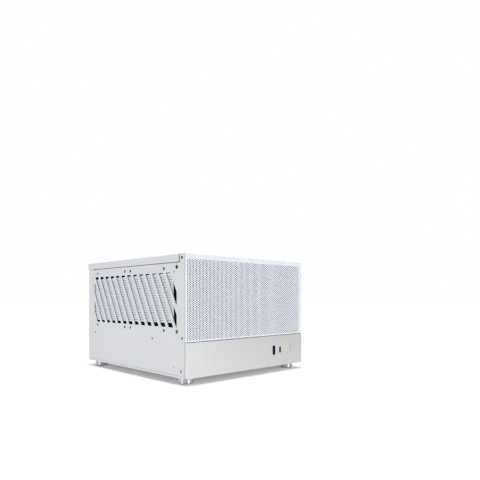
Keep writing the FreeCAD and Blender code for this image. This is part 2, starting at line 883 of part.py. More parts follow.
def make_feet():
    seat = pad_height
    profile = [
        (pad_radius + seat_gap, foot_lift), (foot_radius - foot_edge, foot_lift),
        (foot_radius, foot_lift + foot_edge), (foot_radius, base), (foot_screw_shank + seat_gap, base),
        (foot_screw_shank + seat_gap, seat + foot_screw_head_height),
        (foot_screw_head + seat_gap, seat + foot_screw_head_height),
        (foot_screw_head + seat_gap, seat), (pad_radius + seat_gap, seat)]
    return Part.makeCompound([turned(profile, FreeCAD.Vector(x, y, 0), UPWARD) for x, y in foot_middles()])


def make_foot_pads():
    profile = [
        (0, 0), (pad_radius - foot_edge, 0), (pad_radius, foot_edge),
        (pad_radius, pad_height), (0, pad_height)]
    return Part.makeCompound([turned(profile, FreeCAD.Vector(x, y, 0), UPWARD) for x, y in foot_middles()])


def make_foot_screws():
    seat = pad_height
    shoulder = seat + foot_screw_head_height
    end = base + sheet + foot_screw_rise
    profile = [
        (0, seat), (foot_screw_head, seat), (foot_screw_head, shoulder),
        (foot_screw_shank, shoulder), (foot_screw_shank, end), (0, end)]
    return Part.makeCompound([turned(profile, FreeCAD.Vector(x, y, 0), UPWARD) for x, y in foot_middles()])


def make_left_screen():
    """Perforated sheet with ears behind two bars and a rear fold, set a little higher at its front end."""
    outer = left + screen_inset
    ys = (front + screen_front, front + screen_rear)
    middle = base + screen_middle
    zs = (middle - screen_height / 2, middle + screen_height / 2)
    plate = block((outer, outer + screen_sheet), ys, zs)
    ears = []
    for bar in screen_ear_bars:
        bar_middle = front + vent_first + bar * vent_pitch - (vent_pitch - vent_slot) / 2
        start = bar_middle - screen_ear_width / 2
        section = [
            (outer, zs[1] - screen_sheet), (outer, zs[1]), (inner_left + screen_sheet, zs[1]),
            (inner_left + screen_sheet, zs[1] + screen_ear_height), (inner_left, zs[1] + screen_ear_height),
            (inner_left, zs[1] - screen_sheet)]
        ears.append(prism(profile_xz(section, start), BACKWARD * screen_ear_width))
    fold_z = (middle - screen_fold_height / 2, middle + screen_fold_height / 2)
    fold = block((inner_left, outer), (ys[1] - screen_sheet, ys[1]), fold_z)
    screen = joined([plate, fold] + ears)
    pivot = FreeCAD.Vector(outer, (ys[0] + ys[1]) / 2, middle)
    screen.rotate(pivot, RIGHTWARD, -screen_tilt)
    return screen


def make_left_filter():
    """Net in a moulded rim that covers the vent window and the gaps round the screen."""
    outer = left + screen_inset + screen_sheet + seat_gap
    xs = (outer, outer + side_filter_sheet)
    ys = (front + vent_front - side_filter_reach, front + vent_rear + side_filter_reach)
    zs = (base + vent_bottom - side_filter_reach, base + vent_top + side_filter_reach)
    hollow = block(
        (outer + side_filter_net, xs[1]), (ys[0] + side_filter_rim, ys[1] - side_filter_rim),
        (zs[0] + side_filter_rim, zs[1] - side_filter_rim))
    return block(xs, ys, zs).cut(hollow)


def make_nodes():
    left_panel = make_left_side_panel()
    left_screen = make_left_screen()
    left_filter = make_left_filter()
    return {
        "base_pan": make_base_pan(),
        "left_side_panel": left_panel,
        "right_side_panel": mirrored(left_panel),
        "front_frame": make_front_frame(),
        "rear_panel": make_rear_panel(),
        "motherboard_deck": make_motherboard_deck(),
        "standoffs": make_standoffs(),
        "slot_covers": make_slot_covers(),
        "slot_screws": make_slot_screws(),
        "left_screen": left_screen,
        "right_screen": mirrored(left_screen),
        "left_filter": left_filter,
        "right_filter": mirrored(left_filter),
        "top_cover": make_top_cover(),
        "cover_studs": make_cover_studs(),
        "cover_sockets": make_cover_sockets(),
        "front_mesh": make_front_mesh(),
        "filter_frame": make_filter_frame(),
        "filter_net": make_filter_net(),
        "mesh_studs": make_mesh_studs(),
        "mesh_sockets": make_mesh_sockets(),
        "front_band": make_front_band(),
        "band_screws": make_band_screws(),
        "usb_a_shell": make_usb_a_shell(),
        "usb_a_tongue": make_usb_a_tongue(),
        "usb_c_shell": make_usb_c_shell(),
        "usb_c_tongue": make_usb_c_tongue(),
        "io_bracket": make_io_bracket(),
        "io_board": make_io_board(),
        "power_button": make_power_button(),
        "power_switch": make_power_switch(),
        "feet": make_feet(),
        "foot_pads": make_foot_pads(),
        "foot_screws": make_foot_screws(),
        "large_screws": Part.makeCompound(
            on_both_sides(side_fasteners(large_screw_places, large_screw_head, screw_shank))),
        "small_screws": Part.makeCompound(
            on_both_sides(side_fasteners(small_screw_places, small_screw_head, small_screw_shank))),
        "deck_rivets": Part.makeCompound(
            on_both_sides(side_fasteners(rivet_places, rivet_head, rivet_shank))),
    }


os.makedirs("parts", exist_ok=True)
for name, shape in make_nodes().items():
    shape.exportStep("parts/" + name + ".step")
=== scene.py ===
import json
import math

import bmesh
import bpy
from mathutils import Matrix, Vector
from mathutils.geometry import delaunay_2d_cdt


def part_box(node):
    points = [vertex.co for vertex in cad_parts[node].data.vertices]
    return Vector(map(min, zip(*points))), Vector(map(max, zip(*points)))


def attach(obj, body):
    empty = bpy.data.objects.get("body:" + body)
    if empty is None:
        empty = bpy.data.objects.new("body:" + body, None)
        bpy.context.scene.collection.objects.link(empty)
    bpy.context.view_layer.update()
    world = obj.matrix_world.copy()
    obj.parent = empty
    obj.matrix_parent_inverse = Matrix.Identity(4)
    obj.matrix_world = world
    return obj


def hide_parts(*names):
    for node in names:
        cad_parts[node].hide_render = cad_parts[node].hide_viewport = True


# Looks of a low white computer case: fine perforation, screws with recesses, paint, metal and plastic.
# Metres throughout, in the frame of the solid model: +Z up, front faces -Y.

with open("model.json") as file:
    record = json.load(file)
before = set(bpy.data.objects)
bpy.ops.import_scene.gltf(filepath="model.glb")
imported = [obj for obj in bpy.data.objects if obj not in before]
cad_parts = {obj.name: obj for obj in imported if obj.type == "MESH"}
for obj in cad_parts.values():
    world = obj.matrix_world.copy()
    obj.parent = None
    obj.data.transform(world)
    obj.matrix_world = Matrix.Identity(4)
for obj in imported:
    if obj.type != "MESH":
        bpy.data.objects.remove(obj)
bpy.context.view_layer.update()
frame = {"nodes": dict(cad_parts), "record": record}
nodes = frame["nodes"]

MM = 0.001
QUARTER_TURN = math.pi / 2
FULL_TURN = 2 * math.pi

# Meshing: distance under which points are one, and the tolerance and kind of the flat fill
MERGE_DISTANCE = 0.001 * MM
FILL_TOLERANCE = 1e-7
FILL_INSIDE = 1

# Camera, fitted to the photograph's straight edges
CAMERA_PLACE = Vector((-0.4825, -0.5810, 0.1128))
CAMERA_YAW = math.radians(42.31)
CAMERA_LENS = 34.55
CAMERA_SHIFT = (0.0556, 0.119)
PIXEL_FILTER = 1.25

# Front panel: a folded tray with a finely perforated face
PANEL_SHEET = 1.0 * MM
PANEL_BEND = 1.5 * MM
BEND_STEPS = 4
PANEL_PITCH = 2.8 * MM
PANEL_COLUMN_PITCH = PANEL_PITCH * math.sqrt(3) / 2
PANEL_HOLE_RADIUS = 0.89 * MM
PANEL_HOLE_SIDES = 12
PANEL_BORDER_LEFT = 1.7 * MM
PANEL_BORDER_RIGHT = 6.0 * MM
PANEL_BORDER_TOP = 7.2 * MM
PANEL_BORDER_BOTTOM = 2.0 * MM

# Perforated screens behind the side vents
SCREEN_SHEET = 0.8 * MM
SCREEN_LENGTH = 213.2 * MM
SCREEN_HEIGHT = 65.5 * MM
SCREEN_TILT = math.radians(0.87)
SCREEN_PITCH = 2.5 * MM
SCREEN_ROW_PITCH = 3.4 * MM
SCREEN_HOLE_RADIUS = 0.80 * MM
SCREEN_HOLE_SIDES = 10
SCREEN_BORDER = 2.0 * MM
SCREEN_EAR_PLACES = (31.075 * MM, 143.425 * MM)
SCREEN_EAR_WIDTH = 5.0 * MM
SCREEN_EAR_HEIGHT = 6.0 * MM
SCREEN_FOLD_HEIGHT = 20.0 * MM

# Flush screws in the side panels. The recess's arm and half width are shares of the head's radius,
# and its floor is its outline times the taper
SCREW_CONE = 1.0 * MM
SCREW_SIDES = 28
LARGE_SHANK_RADIUS = 1.5 * MM
SMALL_SHANK_RADIUS = 1.2 * MM
RECESS_ARM = 0.55
RECESS_HALF_WIDTH = 0.13
RECESS_DEPTH = 0.75 * MM
RECESS_TAPER = 0.62

# Power symbol on the button
SYMBOL_RADIUS = 3.1 * MM
SYMBOL_STROKE = 0.8 * MM
SYMBOL_RELIEF = 0.06 * MM
SYMBOL_GAP = math.radians(38)
SYMBOL_STEPS = 40
SYMBOL_BAR_LOW = 0.6 * MM
SYMBOL_BAR_HIGH = 4.0 * MM

# Contacts on the tongue of the larger port. The tongue's free face is given from the middle of its box
CONTACT_COUNT = 4
CONTACT_PITCH = 2.3 * MM
CONTACT_WIDTH = 1.0 * MM
CONTACT_LENGTH = 8.0 * MM
CONTACT_RELIEF = 0.06 * MM
CONTACT_SETBACK = 0.6 * MM
TONGUE_FACE = -0.05 * MM

# Floor and surroundings: the glow and the white backdrop show to the camera and in reflections only
WHITE = (1.0, 1.0, 1.0)
FLOOR_REACH = 12.0
FLOOR_COLOUR = (0.80, 0.80, 0.80)
FLOOR_GLOW = 0.21
GLOW_COLOUR = (1.0, 0.96, 0.92)
WORLD_LIGHT = 0.28
BACKDROP_LIGHT = 1.0

# Lamps: a light from above and two soft boxes
SKY_STRENGTH = 2.3
SKY_SPREAD = math.radians(18)
SKY_FALL = Vector((0.025, 0.01, -1.0))
BOX_SIZE = (0.42, 0.55)
BOX_TARGET = Vector((0.0, 0.0, 0.12))
FRONT_BOX_PLACE = Vector((0.05, -1.15, 0.28))
FRONT_BOX_POWER = 4.0
LEFT_BOX_PLACE = Vector((-1.15, -0.10, 0.28))
LEFT_BOX_POWER = 2.5

# Dark curtain round the camera's side of the studio
CURTAIN_REACH = 2.4
CURTAIN_HEIGHT = 2.0
CURTAIN_MIDDLE = math.radians(-125)
CURTAIN_SWEEP = math.radians(220)
CURTAIN_STEPS = 44
CURTAIN_COLOUR = (0.16, 0.16, 0.165)


def link(thing):
    bpy.context.scene.collection.objects.link(thing)
    return thing


def mesh_from(name, make):
    """Mesh filled by a function that works on a bmesh, with outward faces."""
    work = bmesh.new()
    make(work)
    bmesh.ops.remove_doubles(work, verts=work.verts, dist=MERGE_DISTANCE)
    bmesh.ops.recalc_face_normals(work, faces=work.faces)
    mesh = bpy.data.meshes.new(name)
    work.to_mesh(mesh)
    work.free()
    return mesh


# Materials

def shader(name):
    made = bpy.data.materials.new(name)
    made.use_nodes = True
    tree = made.node_tree
    return made, tree, tree.nodes["Principled BSDF"]


def add_node(tree, kind, values=(), **settings):
    """Node with settings as attributes and values by input name."""
    node = tree.nodes.new(kind)
    for key, value in settings.items():
        setattr(node, key, value)
    for key, value in dict(values).items():
        node.inputs[key].default_value = value
    return node


def place_of(tree):
    return add_node(tree, "ShaderNodeTexCoord").outputs["Object"]


def noise(tree, scale, detail, roughness=0.5):
    values = {"Scale": scale, "Detail": detail, "Roughness": roughness}
    node = add_node(tree, "ShaderNodeTexNoise", values)
    tree.links.new(place_of(tree), node.inputs["Vector"])
    return node.outputs["Fac"]


def ranged(tree, source, low, high, start=0.3, end=0.7):
    """Value that runs from low to high as the source runs from start to end."""
    values = {"From Min": start, "From Max": end, "To Min": low, "To Max": high}
    node = add_node(tree, "ShaderNodeMapRange", values)
    tree.links.new(source, node.inputs["Value"])
    return node.outputs["Result"]


def between(tree, source, first, second):
    """Colour that runs from first to second as the source runs over its middle range."""
    node = add_node(tree, "ShaderNodeMix", data_type="RGBA")
    for socket, colour in (("A", first), ("B", second)):
        found = [s for s in node.inputs if s.name == socket and s.type == "RGBA"]
        found[0].default_value = (*colour, 1)
    tree.links.new(ranged(tree, source, low=0.0, high=1.0), node.inputs["Factor"])
    return [s for s in node.outputs if s.type == "RGBA"][0]


def bumped(tree, bsdf, source, strength, distance):
    node = add_node(tree, "ShaderNodeBump", {"Strength": strength, "Distance": distance})
    tree.links.new(source, node.inputs["Height"])
    tree.links.new(node.outputs["Normal"], bsdf.inputs["Normal"])


def shade(colour, factor):
    return tuple(channel * factor for channel in colour)


def finish_surface(name, colour, metallic, roughness, variation, grain, relief, cloud=12.0):
    """Common surface: cloudy colour, grainy roughness and a fine grain in relief."""
    made, tree, bsdf = shader(name)
    bsdf.inputs["Metallic"].default_value = metallic
    clouds = noise(tree, cloud, detail=3.0)
    darker = shade(colour, 1 - variation)
    tree.links.new(between(tree, clouds, darker, colour), bsdf.inputs["Base Color"])
    grains = noise(tree, grain, detail=3.0, roughness=0.6)
    tree.links.new(ranged(tree, grains, *roughness), bsdf.inputs["Roughness"])
    bumped(tree, bsdf, grains, strength=relief, distance=0.05 * MM)
    return made


def powder_coat(name, colour):
    return finish_surface(
        name, colour, metallic=0.0, roughness=(0.40, 0.52), variation=0.02, grain=1900.0, relief=0.25)


def blasted_aluminium(name, colour):
    return finish_surface(
        name, colour, metallic=1.0, roughness=(0.44, 0.58), variation=0.03, grain=2600.0, relief=0.35)


def plated_steel(name, colour):
    return finish_surface(
        name, colour, metallic=1.0, roughness=(0.25, 0.38), variation=0.10, grain=1500.0, relief=0.15,
        cloud=200.0)


def moulded_plastic(name, colour):
    return finish_surface(
        name, colour, metallic=0.0, roughness=(0.62, 0.80), variation=0.15, grain=1600.0, relief=0.30)


def turned_metal(name, colour):
    """Bright metal turned on a lathe: its grooves spread reflections up and down."""
    made = finish_surface(
        name, colour, metallic=1.0, roughness=(0.28, 0.34), variation=0.02, grain=1500.0, relief=0.05)
    tree = made.node_tree
    bsdf = tree.nodes["Principled BSDF"]
    bsdf.inputs["Anisotropic"].default_value = 0.92
    bsdf.inputs["Anisotropic Rotation"].default_value = 0.25
    around = add_node(tree, "ShaderNodeVectorMath", operation="CROSS_PRODUCT")
    around.inputs[1].default_value = (0, 0, 1)
    tree.links.new(add_node(tree, "ShaderNodeNewGeometry").outputs["Normal"], around.inputs[0])
    tree.links.new(around.outputs["Vector"], bsdf.inputs["Tangent"])
    return made


def spun_metal(name, colour, axis_place):
    """Turned face: fine rings about an axis along Y."""
    made, tree, bsdf = shader(name)
    bsdf.inputs["Metallic"].default_value = 1.0
    shifted = add_node(tree, "ShaderNodeVectorMath", operation="SUBTRACT")
    shifted.inputs[1].default_value = axis_place
    tree.links.new(place_of(tree), shifted.inputs[0])
    rings = add_node(
        tree, "ShaderNodeTexWave", {"Scale": 900.0, "Distortion": 1.5, "Detail": 2.0},
        wave_type="RINGS", rings_direction="Y")
    tree.links.new(shifted.outputs["Vector"], rings.inputs["Vector"])
    ring = rings.outputs["Fac"]
    darker = shade(colour, factor=0.94)
    tree.links.new(between(tree, ring, darker, colour), bsdf.inputs["Base Color"])
    tree.links.new(ranged(tree, ring, low=0.24, high=0.36), bsdf.inputs["Roughness"])
    bumped(tree, bsdf, ring, strength=0.2, distance=0.03 * MM)
    return made


def woven_net(name, colour):
    """Fine dark cloth: two crossed sets of threads."""
    made, tree, bsdf = shader(name)
    weave = add_node(tree, "ShaderNodeMath", operation="MULTIPLY")
    for index, direction in enumerate(("X", "Z")):
        wave = add_node(
            tree, "ShaderNodeTexWave", {"Scale": 320.0, "Distortion": 0.0},
            wave_type="BANDS", bands_direction=direction)
        tree.links.new(place_of(tree), wave.inputs["Vector"])
        tree.links.new(wave.outputs["Fac"], weave.inputs[index])
    thread = weave.outputs["Value"]
    darker = shade(colour, factor=0.35)
    tree.links.new(between(tree, thread, darker, colour), bsdf.inputs["Base Color"])
    bsdf.inputs["Roughness"].default_value = 0.85
    bsdf.inputs["Specular IOR Level"].default_value = 0.1
    bumped(tree, bsdf, thread, strength=0.6, distance=0.1 * MM)
    return made


def solder_mask(name, colour):
    """Circuit board: tracks show as a net of paler lines under the mask."""
    made, tree, bsdf = shader(name)
    cells = add_node(tree, "ShaderNodeTexVoronoi", {"Scale": 350.0}, feature="DISTANCE_TO_EDGE")
    tree.links.new(place_of(tree), cells.inputs["Vector"])
    track = ranged(tree, cells.outputs["Distance"], low=0.0, high=1.0, start=0.0, end=0.1)
    paler = shade(colour, factor=1.8)
    tree.links.new(between(tree, track, paler, colour), bsdf.inputs["Base Color"])
    bsdf.inputs["Roughness"].default_value = 0.35
    bumped(tree, bsdf, track, strength=0.2, distance=0.05 * MM)
    return made


button_low, button_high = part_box("power_button")
button_middle = (button_low + button_high) / 2

# Materials by slot of the record
MATERIALS = {
    "white_steel": powder_coat("white_powder_coat", (0.80, 0.815, 0.845)),
    "screen_steel": powder_coat("screen_powder_coat", (0.83, 0.855, 0.92)),
    "mesh_steel": powder_coat("front_powder_coat", (0.84, 0.865, 0.93)),
    "anodised_band": blasted_aluminium("blasted_aluminium", (0.70, 0.70, 0.70)),
    "button_metal": spun_metal("spun_aluminium", (0.82, 0.82, 0.83), button_middle),
    "bright_foot": turned_metal("turned_bright_metal", (0.57, 0.58, 0.60)),
    "foot_rubber": moulded_plastic("dark_rubber", (0.04, 0.04, 0.045)),
    "zinc_screw": plated_steel("zinc_plate", (0.36, 0.36, 0.37)),
    # The dark plate also colours the power symbol; on the symbol its darkness is painted shade of the
    # strokes.
    "dark_screw": plated_steel("dark_plate_and_painted_symbol_shade", (0.22, 0.20, 0.18)),
    "brass_post": plated_steel("turned_brass", (0.72, 0.55, 0.25)),
    "black_plastic": moulded_plastic("black_plastic", (0.02, 0.02, 0.02)),
    "blue_plastic": moulded_plastic("blue_plastic", (0.004, 0.011, 0.095)),
    "filter_cloth": woven_net("filter_net_cloth", (0.008, 0.008, 0.009)),
    # The port shells' plate is painted near-black: painted shade of the ports' dark insides.
    "port_shell": plated_steel("nickel_plate_painted_port_shade", (0.08, 0.08, 0.085)),
    "circuit_board": solder_mask("solder_mask", (0.02, 0.10, 0.05)),
}


def dress_nodes():
    """Gives every node of the frame the material of its slot in the record."""
    for row in frame["record"]["subparts"]:
        mesh = nodes[row["node"]].data
        mesh.materials.clear()
        mesh.materials.append(MATERIALS[row["material_slot"]])


# Outlines, slabs and perforated plates.
# A function lift(point, depth) gives the place of a flat point at a depth in the sheet.

def rectangle(low, high):
    return [low.copy(), Vector((high.x, low.y)), high.copy(), Vector((low.x, high.y))]


def ring_of(middle, radius, sides):
    angles = [FULL_TURN * index / sides for index in range(sides)]
    return [middle + radius * Vector((math.cos(a), math.sin(a))) for a in angles]


def staggered(low, high, pitch, column_pitch, radius):
    """Middles of a staggered pattern of holes, in upright columns from the left of a rectangle."""
    columns = 1 + int((high.x - low.x - 2 * radius) / column_pitch)
    rows = int((high.y - low.y - 2 * radius) / pitch + 0.5)
    start = Vector((low.x + radius, (low.y + high.y - (rows - 0.5) * pitch) / 2))
    for column in range(columns):
        for row in range(rows):
            yield start + Vector((column * column_pitch, (row + (column % 2) / 2) * pitch))


def join_loops(work, first, second):
    """Wall between two closed loops of as many points."""
    for i in range(len(first)):
        work.faces.new((first[i - 1], first[i], second[i], second[i - 1]))


def add_slab(work, outline, lift, depths):
    """Flat outline made solid between two depths."""
    ends = [[work.verts.new(lift(p, depth)) for p in outline] for depth in depths]
    for end in ends:
        work.faces.new(end)
    join_loops(work, *ends)


def plate_faces(outline, holes):
    """Triangles of a flat plate with holes: points, triangles and each loop's point numbers."""
    points = []
    loops = []
    for loop in [outline] + holes:
        loops.append(list(range(len(points), len(points) + len(loop))))
        points += loop
    found, _, triangles, sources, _, owners = delaunay_2d_cdt(
        points, [], loops, FILL_INSIDE, FILL_TOLERANCE, True)
    solid = [triangle for triangle, owner in zip(triangles, owners) if list(owner) == [0]]
    numbers = {source: index for index, group in enumerate(sources) for source in group}
    return found, solid, [[numbers[i] for i in loop] for loop in loops]


def add_plate(work, outline, holes, lift, thickness, closed_rim):
    """Perforated plate: two faces, the walls of its holes and, if asked for, its rim."""
    points, triangles, loops = plate_faces(outline, holes)
    sides = [[work.verts.new(lift(p, depth)) for p in points] for depth in (0.0, thickness)]
    for triangle in triangles:
        for side in sides:
            work.faces.new([side[i] for i in triangle])
    walls = loops if closed_rim else loops[1:]
    for loop in walls:
        join_loops(work, *[[side[i] for i in loop] for side in sides])


# Front panel

def tray_outline(face_low, face_high, margin):
    """Outline of the tray at a margin inside it, its corners rounded as the bend is."""
    radius = PANEL_BEND - margin
    low = face_low + Vector((PANEL_BEND, PANEL_BEND))
    high = face_high - Vector((PANEL_BEND, PANEL_BEND))
    points = []
    for quarter, corner in enumerate((high, Vector((low.x, high.y)), low, Vector((high.x, low.y)))):
        for step in range(BEND_STEPS + 1):
            angle = QUARTER_TURN * (quarter + step / BEND_STEPS)
            points.append(corner + radius * Vector((math.cos(angle), math.sin(angle))))
    return points


def tray_profile(tray_depth):
    """Section of the tray's folded wall, from the face round the free edge and back."""
    angles = [QUARTER_TURN * step / BEND_STEPS for step in range(BEND_STEPS + 1)]
    outer = [(PANEL_BEND * (1 - math.sin(a)), PANEL_BEND * (1 - math.cos(a))) for a in angles]
    inner_bend = PANEL_BEND - PANEL_SHEET
    inner = [
        (PANEL_SHEET + inner_bend * (1 - math.sin(a)), PANEL_SHEET + inner_bend * (1 - math.cos(a)))
        for a in angles]
    return outer + [(0.0, tray_depth), (PANEL_SHEET, tray_depth)] + inner[::-1]


def make_front_panel(work):
    """Front panel: the perforated face and the folded wall round it."""
    low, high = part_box("front_mesh")
    face_low = Vector((low.x, low.z))
    face_high = Vector((high.x, high.z))
    inset = Vector((PANEL_BEND, PANEL_BEND))
    field_low = face_low + Vector((PANEL_BORDER_LEFT, PANEL_BORDER_BOTTOM))
    field_high = face_high - Vector((PANEL_BORDER_RIGHT, PANEL_BORDER_TOP))
    holes = [
        ring_of(middle, PANEL_HOLE_RADIUS, PANEL_HOLE_SIDES)
        for middle in staggered(
            field_low, field_high, PANEL_PITCH, PANEL_COLUMN_PITCH, PANEL_HOLE_RADIUS)]

    def lift(point, depth):
        return Vector((point.x, low.y + depth, point.y))

    flat_face = rectangle(face_low + inset, face_high - inset)
    add_plate(work, flat_face, holes, lift, PANEL_SHEET, closed_rim=False)
    previous = None
    for margin, depth in tray_profile(high.y - low.y):
        loop = [work.verts.new(lift(p, depth)) for p in tray_outline(face_low, face_high, margin)]
        if previous:
            join_loops(work, previous, loop)
        previous = loop


# Side screens

def make_screen(node, side):
    """Screen behind the vents of a side, -1 or 1: level rows of holes, two bent ears and a rear fold."""
    low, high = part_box(node)
    half = Vector((SCREEN_LENGTH, SCREEN_HEIGHT)) / 2
    middle_y = (low.y + high.y) / 2
    middle_z = low.z + half.x * math.sin(SCREEN_TILT) + half.y * math.cos(SCREEN_TILT)
    face_x = (high.x if side < 0 else low.x) + side * SCREEN_SHEET
    panel_x = low.x if side < 0 else high.x
    tilt = Matrix.Rotation(-SCREEN_TILT, 3, "X")

    def place(x, along, up):
        return Vector((x, middle_y, middle_z)) + tilt @ Vector((0, along, up))

    def lift(point, depth):
        return place(face_x - side * depth, point.x, point.y)

    def across(point, along):
        return place(point.x, along, point.y)

    def add_face(work):
        # The pattern is laid out in upright columns and turned into level rows by swapping both axes
        border = Vector((SCREEN_BORDER, SCREEN_BORDER))
        field = [border.yx - half.yx, half.yx - border.yx]
        holes = [
            ring_of(middle.yx, SCREEN_HOLE_RADIUS, SCREEN_HOLE_SIDES)
            for middle in staggered(*field, SCREEN_PITCH, SCREEN_ROW_PITCH, SCREEN_HOLE_RADIUS)]
        add_plate(work, rectangle(-half, half), holes, lift, SCREEN_SHEET, closed_rim=True)

    def add_ears(work):
        tab_x = panel_x - side * SCREEN_SHEET
        ear_top = half.y + SCREEN_EAR_HEIGHT
        ear = [
            (face_x, half.y - SCREEN_SHEET), (face_x, half.y), (tab_x, half.y), (tab_x, ear_top),
            (panel_x, ear_top), (panel_x, half.y - SCREEN_SHEET)]
        for start in SCREEN_EAR_PLACES:
            along = start - half.x
            add_slab(work, [Vector(p) for p in ear], across, (along, along + SCREEN_EAR_WIDTH))

    def add_fold(work):
        reach = SCREEN_FOLD_HEIGHT / 2
        fold = rectangle(Vector((panel_x, -reach)), Vector((face_x, reach)))
        add_slab(work, fold, across, (half.x - SCREEN_SHEET, half.x))

    def make(work):
        add_face(work)
        add_ears(work)
        add_fold(work)

    return mesh_from(node + "_mesh", make)


# Fasteners

def cross_outline(arm, half_width):
    """Outline of a cross recess about the origin."""
    corner = [(arm, -half_width), (arm, half_width), (half_width, half_width)]
    points = []
    for quarter in range(4):
        turn = Matrix.Rotation(QUARTER_TURN * quarter, 2)
        points += [turn @ Vector(p) for p in corner]
    return points


def solids_of(node):
    """Boxes of the separate solids of a node, worked out from which points its faces join."""
    work = bmesh.new()
    work.from_mesh(nodes[node].data)
    bmesh.ops.remove_doubles(work, verts=work.verts, dist=MERGE_DISTANCE)
    left_over = set(work.verts)
    boxes = []
    while left_over:
        front = [left_over.pop()]
        group = []
        while front:
            vertex = front.pop()
            group.append(vertex.co.copy())
            for edge in vertex.link_edges:
                other = edge.other_vert(vertex)
                if other in left_over:
                    left_over.remove(other)
                    front.append(other)
        low = Vector([min(p[i] for p in group) for i in range(3)])
        high = Vector([max(p[i] for p in group) for i in range(3)])
        boxes.append((low, high))
    work.free()
    return sorted(boxes, key=lambda box: tuple(box[0]))


def add_flush_screw(work, low, high, shank_radius):
    """Countersunk screw along X with a cross recess, in the box of its solid."""
    side = -1 if low.x < 0 else 1
    head_radius = (high.z - low.z) / 2
    middle = (low + high) / 2
    outside = low.x if side < 0 else high.x
    length = high.x - low.x
    origin = Vector((0, 0))

    def lift(point, depth):
        return Vector((outside - side * depth, middle.y + point.x, middle.z + point.y))

    rim = ring_of(origin, head_radius, SCREW_SIDES)
    cross = cross_outline(RECESS_ARM * head_radius, RECESS_HALF_WIDTH * head_radius)
    points, triangles, loops = plate_faces(rim, [cross])
    top = [work.verts.new(lift(p, 0.0)) for p in points]
    for triangle in triangles:
        work.faces.new([top[i] for i in triangle])
    rim_loop, cross_loop = [[top[i] for i in loop] for loop in loops]
    recess_floor = [work.verts.new(lift(p * RECESS_TAPER, RECESS_DEPTH)) for p in cross]
    previous = rim_loop
    for depth in (SCREW_CONE, length):
        loop = [work.verts.new(lift(p, depth)) for p in ring_of(origin, shank_radius, SCREW_SIDES)]
        join_loops(work, previous, loop)
        previous = loop
    work.faces.new(previous)
    join_loops(work, cross_loop, recess_floor)
    work.faces.new(recess_floor)


def make_screws(node, shank_radius):
    def make(work):
        for low, high in solids_of(node):
            add_flush_screw(work, low, high, shank_radius)

    return mesh_from(node + "_mesh", make)


# Small parts of the port module

def make_power_symbol(work):
    """Broken ring and upright bar, standing a little proud of the button's face."""
    def lift(point, depth):
        return Vector((button_middle.x + point.x, button_low.y + depth, button_middle.z + point.y))

    start = QUARTER_TURN + SYMBOL_GAP
    sweep = FULL_TURN - 2 * SYMBOL_GAP
    angles = [start + sweep * step / SYMBOL_STEPS for step in range(SYMBOL_STEPS + 1)]
    radii = (SYMBOL_RADIUS - SYMBOL_STROKE / 2, SYMBOL_RADIUS + SYMBOL_STROKE / 2)
    arcs = [[radius * Vector((math.cos(a), math.sin(a))) for a in angles] for radius in radii]
    depths = (-SYMBOL_RELIEF, SYMBOL_RELIEF)
    rows = [[work.verts.new(lift(p, depth)) for p in arc] for arc in arcs for depth in depths]
    inner_front, inner_back, outer_front, outer_back = rows
    for i in range(SYMBOL_STEPS):
        for first, second in (
                (inner_front, outer_front), (outer_front, outer_back),
                (outer_back, inner_back), (inner_back, inner_front)):
            work.faces.new((first[i], first[i + 1], second[i + 1], second[i]))
    for i in (0, SYMBOL_STEPS):
        work.faces.new((inner_front[i], outer_front[i], outer_back[i], inner_back[i]))
    half = SYMBOL_STROKE / 2
    bar = rectangle(Vector((-half, SYMBOL_BAR_LOW)), Vector((half, SYMBOL_BAR_HIGH)))
    add_slab(work, bar, lift, depths)


def make_contacts(work):
    """Contacts on the free side of the larger port's tongue."""
    low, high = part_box("usb_a_tongue")
    face = (low.x + high.x) / 2 + TONGUE_FACE
    middle_z = (low.z + high.z) / 2
    start = low.y + CONTACT_SETBACK

    def lift(point, depth):
        return Vector((face - depth, point.x, point.y))

    for index in range(CONTACT_COUNT):
        z = middle_z + (index - (CONTACT_COUNT - 1) / 2) * CONTACT_PITCH
        strip = rectangle(
            Vector((start, z - CONTACT_WIDTH / 2)),
            Vector((start + CONTACT_LENGTH, z + CONTACT_WIDTH / 2)))
        add_slab(work, strip, lift, (0.0, CONTACT_RELIEF))


# Pieces of the part

def piece(name, mesh, body, slot):
    """New object of the part: it rides on a body and takes its finish from a slot of the record."""
    mesh.materials.append(MATERIALS[slot])
    thing = link(bpy.data.objects.new(name, mesh))
    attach(thing, body)
    return thing


def make_pieces():
    front = mesh_from("perforated_front", make_front_panel)
    panel = piece("perforated_front", front, "front_panel", "mesh_steel")
    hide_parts("front_mesh")
    for node, side in (("left_screen", -1), ("right_screen", 1)):
        screen = piece("perforated_" + node, make_screen(node, side), "chassis", "screen_steel")
        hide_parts(node)
    for node, slot, shank_radius in (
            ("large_screws", "dark_screw", LARGE_SHANK_RADIUS),
            ("small_screws", "zinc_screw", SMALL_SHANK_RADIUS)):
        screws = piece("recessed_" + node, make_screws(node, shank_radius), "chassis", slot)
        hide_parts(node)
    symbol = mesh_from("power_symbol", make_power_symbol)
    # The symbol takes the screws' dark plate: painted shade standing for the shade in its strokes.
    piece("power_symbol", symbol, "power_button", "dark_screw")
    contacts = mesh_from("port_contacts", make_contacts)
    piece("port_contacts", contacts, "chassis", "brass_post")


# Stage

def seen_directly(tree):
    """1 for rays from the camera and for those mirrored or let through, else 0."""
    path = add_node(tree, "ShaderNodeLightPath")
    total = path.outputs["Is Camera Ray"]
    for name in ("Is Glossy Ray", "Is Transmission Ray"):
        both = add_node(tree, "ShaderNodeMath", operation="MAXIMUM")
        tree.links.new(total, both.inputs[0])
        tree.links.new(path.outputs[name], both.inputs[1])
        total = both.outputs["Value"]
    return total


